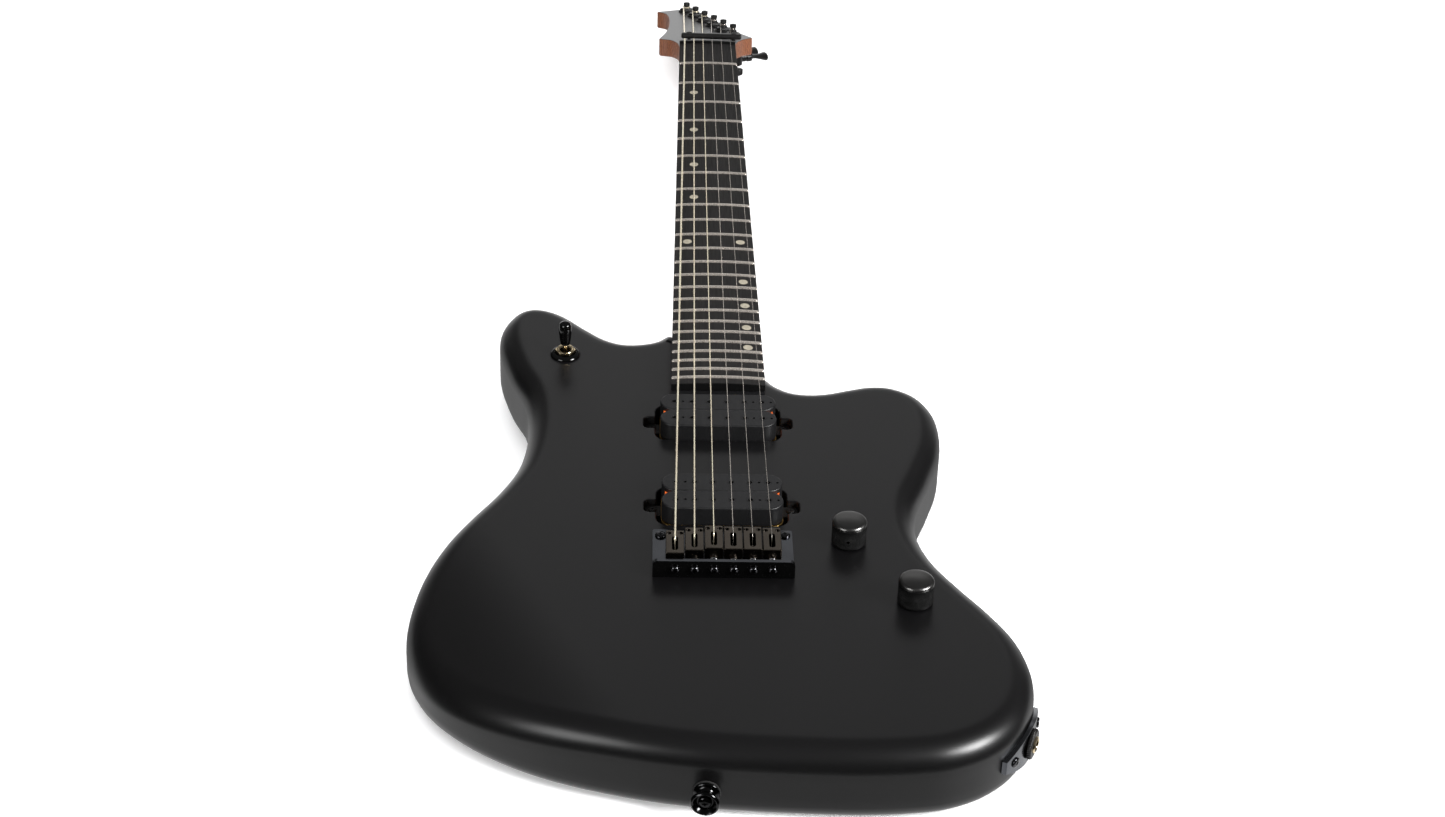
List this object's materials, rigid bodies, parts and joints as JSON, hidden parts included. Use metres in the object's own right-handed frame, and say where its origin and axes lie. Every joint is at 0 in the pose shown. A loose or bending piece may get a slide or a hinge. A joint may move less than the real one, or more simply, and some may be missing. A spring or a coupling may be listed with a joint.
{
  "type": "electric guitar",
  "caption": "Solid-body electric guitar with offset body, bolt-on neck, string-through hardtail bridge, two humbucking pickups and in-line locking tuners.",
  "frame": {"origin": "on the flat back of the body, on the centreline, directly under the bridge end of the scale length", "axes": "+X across the body towards the treble side, +Y along the neck towards the headstock, +Z out of the front face"},
  "size_m": [0.339, 1.0229, 0.0943],
  "materials": {
    "body_paint": "satin black lacquer over wood",
    "neck_wood": "oiled reddish-brown wood, headstock face black",
    "fretboard_wood": "dark ebony-like wood with nickel-silver frets",
    "nut_plastic": "black composite",
    "rod_steel": "plain steel",
    "black_hardware": "satin black plating",
    "tuner_casting": "satin black die casting",
    "post_metal": "black plating, gold string ring",
    "string_wound": "wound nickel steel",
    "string_plain": "plain steel wire",
    "bridge_metal": "satin black plating",
    "saddle_metal": "dark bronze-grey plating",
    "pickup_base_metal": "black plating",
    "coil_plastic": "matt black bobbins",
    "pot_metal": "zinc-plated steel",
    "knob_metal": "black anodised, knurled side",
    "gold_metal": "gold plating",
    "lever_plastic": "gloss black",
    "cover_plastic": "matt black sheet"
  },
  "bodies": {
    "guitar": {"body": "body_paint", "neck": "neck_wood", "fretboard": "fretboard_wood", "nut": "nut_plastic", "truss_rod": "rod_steel", "string_retainer_bar": "black_hardware", "tuner_housing_1": "tuner_casting", "tuner_housing_2": "tuner_casting", "tuner_housing_3": "tuner_casting", "tuner_housing_4": "tuner_casting", "tuner_housing_5": "tuner_casting", "tuner_housing_6": "tuner_casting", "string_1": "string_wound", "string_2": "string_wound", "string_3": "string_wound", "string_4": "string_plain", "string_5": "string_plain", "string_6": "string_plain", "bridge_plate": "bridge_metal", "bridge_pickup_base": "pickup_base_metal", "bridge_pickup_coils": "coil_plastic", "neck_pickup_base": "pickup_base_metal", "neck_pickup_coils": "coil_plastic", "volume_pot": "pot_metal", "tone_pot": "pot_metal", "toggle_switch_body": "gold_metal", "jack_plate": "black_hardware", "jack_socket": "gold_metal", "strap_button_tail": "black_hardware", "strap_button_horn": "black_hardware", "control_cover": "cover_plastic", "switch_cover": "cover_plastic", "neck_plate": "black_hardware"},
    "post_1": {"tuner_post_1": "post_metal"},
    "button_1": {"tuner_button_1": "tuner_casting"},
    "post_2": {"tuner_post_2": "post_metal"},
    "button_2": {"tuner_button_2": "tuner_casting"},
    "post_3": {"tuner_post_3": "post_metal"},
    "button_3": {"tuner_button_3": "tuner_casting"},
    "post_4": {"tuner_post_4": "post_metal"},
    "button_4": {"tuner_button_4": "tuner_casting"},
    "post_5": {"tuner_post_5": "post_metal"},
    "button_5": {"tuner_button_5": "tuner_casting"},
    "post_6": {"tuner_post_6": "post_metal"},
    "button_6": {"tuner_button_6": "tuner_casting"},
    "saddle_1": {"saddle_1": "saddle_metal"},
    "screw_1": {"intonation_screw_1": "black_hardware"},
    "saddle_2": {"saddle_2": "saddle_metal"},
    "screw_2": {"intonation_screw_2": "black_hardware"},
    "saddle_3": {"saddle_3": "saddle_metal"},
    "screw_3": {"intonation_screw_3": "black_hardware"},
    "saddle_4": {"saddle_4": "saddle_metal"},
    "screw_4": {"intonation_screw_4": "black_hardware"},
    "saddle_5": {"saddle_5": "saddle_metal"},
    "screw_5": {"intonation_screw_5": "black_hardware"},
    "saddle_6": {"saddle_6": "saddle_metal"},
    "screw_6": {"intonation_screw_6": "black_hardware"},
    "volume_knob": {"volume_knob": "knob_metal"},
    "tone_knob": {"tone_knob": "knob_metal"},
    "toggle": {"toggle_lever": "lever_plastic"}
  },
  "joints": [
    {"name": "button_1_turn", "type": "hinge", "parent": "guitar", "child": "button_1", "pos_m": [-0.01573, 0.81787, -0.01301], "axis": [0.9581, 0.2767, -0.0741], "continuous": true},
    {"name": "post_1_turn", "type": "hinge", "parent": "guitar", "child": "post_1", "pos_m": [-0.0139, 0.81663, 0.00606], "axis": [0, 0.2588, 0.9659], "continuous": true},
    {"name": "button_2_turn", "type": "hinge", "parent": "guitar", "child": "button_2", "pos_m": [-0.00871, 0.79519, -0.00694], "axis": [0.9581, 0.2767, -0.0741], "continuous": true},
    {"name": "post_2_turn", "type": "hinge", "parent": "guitar", "child": "post_2", "pos_m": [-0.00688, 0.79395, 0.01213], "axis": [0, 0.2588, 0.9659], "continuous": true},
    {"name": "button_3_turn", "type": "hinge", "parent": "guitar", "child": "button_3", "pos_m": [-0.00169, 0.77251, -0.00086], "axis": [0.9581, 0.2767, -0.0741], "continuous": true},
    {"name": "post_3_turn", "type": "hinge", "parent": "guitar", "child": "post_3", "pos_m": [0.00014, 0.77127, 0.01821], "axis": [0, 0.2588, 0.9659], "continuous": true},
    {"name": "button_4_turn", "type": "hinge", "parent": "guitar", "child": "button_4", "pos_m": [0.00533, 0.74983, 0.00522], "axis": [0.9581, 0.2767, -0.0741], "continuous": true},
    {"name": "post_4_turn", "type": "hinge", "parent": "guitar", "child": "post_4", "pos_m": [0.00716, 0.74859, 0.02429], "axis": [0, 0.2588, 0.9659], "continuous": true},
    {"name": "button_5_turn", "type": "hinge", "parent": "guitar", "child": "button_5", "pos_m": [0.01235, 0.72715, 0.01129], "axis": [0.9581, 0.2767, -0.0741], "continuous": true},
    {"name": "post_5_turn", "type": "hinge", "parent": "guitar", "child": "post_5", "pos_m": [0.01418, 0.72591, 0.03036], "axis": [0, 0.2588, 0.9659], "continuous": true},
    {"name": "button_6_turn", "type": "hinge", "parent": "guitar", "child": "button_6", "pos_m": [0.01937, 0.70447, 0.01737], "axis": [0.9581, 0.2767, -0.0741], "continuous": true},
    {"name": "post_6_turn", "type": "hinge", "parent": "guitar", "child": "post_6", "pos_m": [0.0212, 0.70323, 0.03644], "axis": [0, 0.2588, 0.9659], "continuous": true},
    {"name": "screw_1_turn", "type": "hinge", "parent": "guitar", "child": "screw_1", "pos_m": [-0.027, -0.0315, 0.051], "axis": [0, 1, 0], "range_deg": [-864, 864]},
    {"name": "saddle_1_slide", "type": "slide", "parent": "guitar", "child": "saddle_1", "axis": [0, 1, 0], "range_m": [-0.0012, 0.0012]},
    {"name": "screw_2_turn", "type": "hinge", "parent": "guitar", "child": "screw_2", "pos_m": [-0.0162, -0.0315, 0.051], "axis": [0, 1, 0], "range_deg": [-864, 864]},
    {"name": "saddle_2_slide", "type": "slide", "parent": "guitar", "child": "saddle_2", "axis": [0, 1, 0], "range_m": [-0.0012, 0.0012]},
    {"name": "screw_3_turn", "type": "hinge", "parent": "guitar", "child": "screw_3", "pos_m": [-0.0054, -0.0315, 0.051], "axis": [0, 1, 0], "range_deg": [-864, 864]},
    {"name": "saddle_3_slide", "type": "slide", "parent": "guitar", "child": "saddle_3", "axis": [0, 1, 0], "range_m": [-0.0012, 0.0012]},
    {"name": "screw_4_turn", "type": "hinge", "parent": "guitar", "child": "screw_4", "pos_m": [0.0054, -0.0315, 0.051], "axis": [0, 1, 0], "range_deg": [-864, 864]},
    {"name": "saddle_4_slide", "type": "slide", "parent": "guitar", "child": "saddle_4", "axis": [0, 1, 0], "range_m": [-0.0012, 0.0012]},
    {"name": "screw_5_turn", "type": "hinge", "parent": "guitar", "child": "screw_5", "pos_m": [0.0162, -0.0315, 0.051], "axis": [0, 1, 0], "range_deg": [-864, 864]},
    {"name": "saddle_5_slide", "type": "slide", "parent": "guitar", "child": "saddle_5", "axis": [0, 1, 0], "range_m": [-0.0012, 0.0012]},
    {"name": "screw_6_turn", "type": "hinge", "parent": "guitar", "child": "screw_6", "pos_m": [0.027, -0.0315, 0.051], "axis": [0, 1, 0], "range_deg": [-864, 864]},
    {"name": "saddle_6_slide", "type": "slide", "parent": "guitar", "child": "saddle_6", "axis": [0, 1, 0], "range_m": [-0.0012, 0.0012]},
    {"name": "volume_turn", "type": "hinge", "parent": "guitar", "child": "volume_knob", "pos_m": [0.0713, 0.0043, 0.045], "axis": [0, 0, -1], "range_deg": [0, 300]},
    {"name": "tone_turn", "type": "hinge", "parent": "guitar", "child": "tone_knob", "pos_m": [0.1045, -0.0512, 0.045], "axis": [0, 0, -1], "range_deg": [0, 300]},
    {"name": "toggle_tilt", "type": "hinge", "parent": "guitar", "child": "toggle", "pos_m": [-0.0948, 0.2035, 0.046], "axis": [1, 0, 0], "range_deg": [-12, 12]}
  ],
  "couplings": [
    {"joint": "post_1_turn", "follows": "button_1_turn", "ratio": 0.055556},
    {"joint": "post_2_turn", "follows": "button_2_turn", "ratio": 0.055556},
    {"joint": "post_3_turn", "follows": "button_3_turn", "ratio": 0.055556},
    {"joint": "post_4_turn", "follows": "button_4_turn", "ratio": 0.055556},
    {"joint": "post_5_turn", "follows": "button_5_turn", "ratio": 0.055556},
    {"joint": "post_6_turn", "follows": "button_6_turn", "ratio": 0.055556},
    {"joint": "screw_1_turn", "follows": "saddle_1_slide", "rad_per_m": -12560},
    {"joint": "screw_2_turn", "follows": "saddle_2_slide", "rad_per_m": -12560},
    {"joint": "screw_3_turn", "follows": "saddle_3_slide", "rad_per_m": -12560},
    {"joint": "screw_4_turn", "follows": "saddle_4_slide", "rad_per_m": -12560},
    {"joint": "screw_5_turn", "follows": "saddle_5_slide", "rad_per_m": -12560},
    {"joint": "screw_6_turn", "follows": "saddle_6_slide", "rad_per_m": -12560}
  ]
}
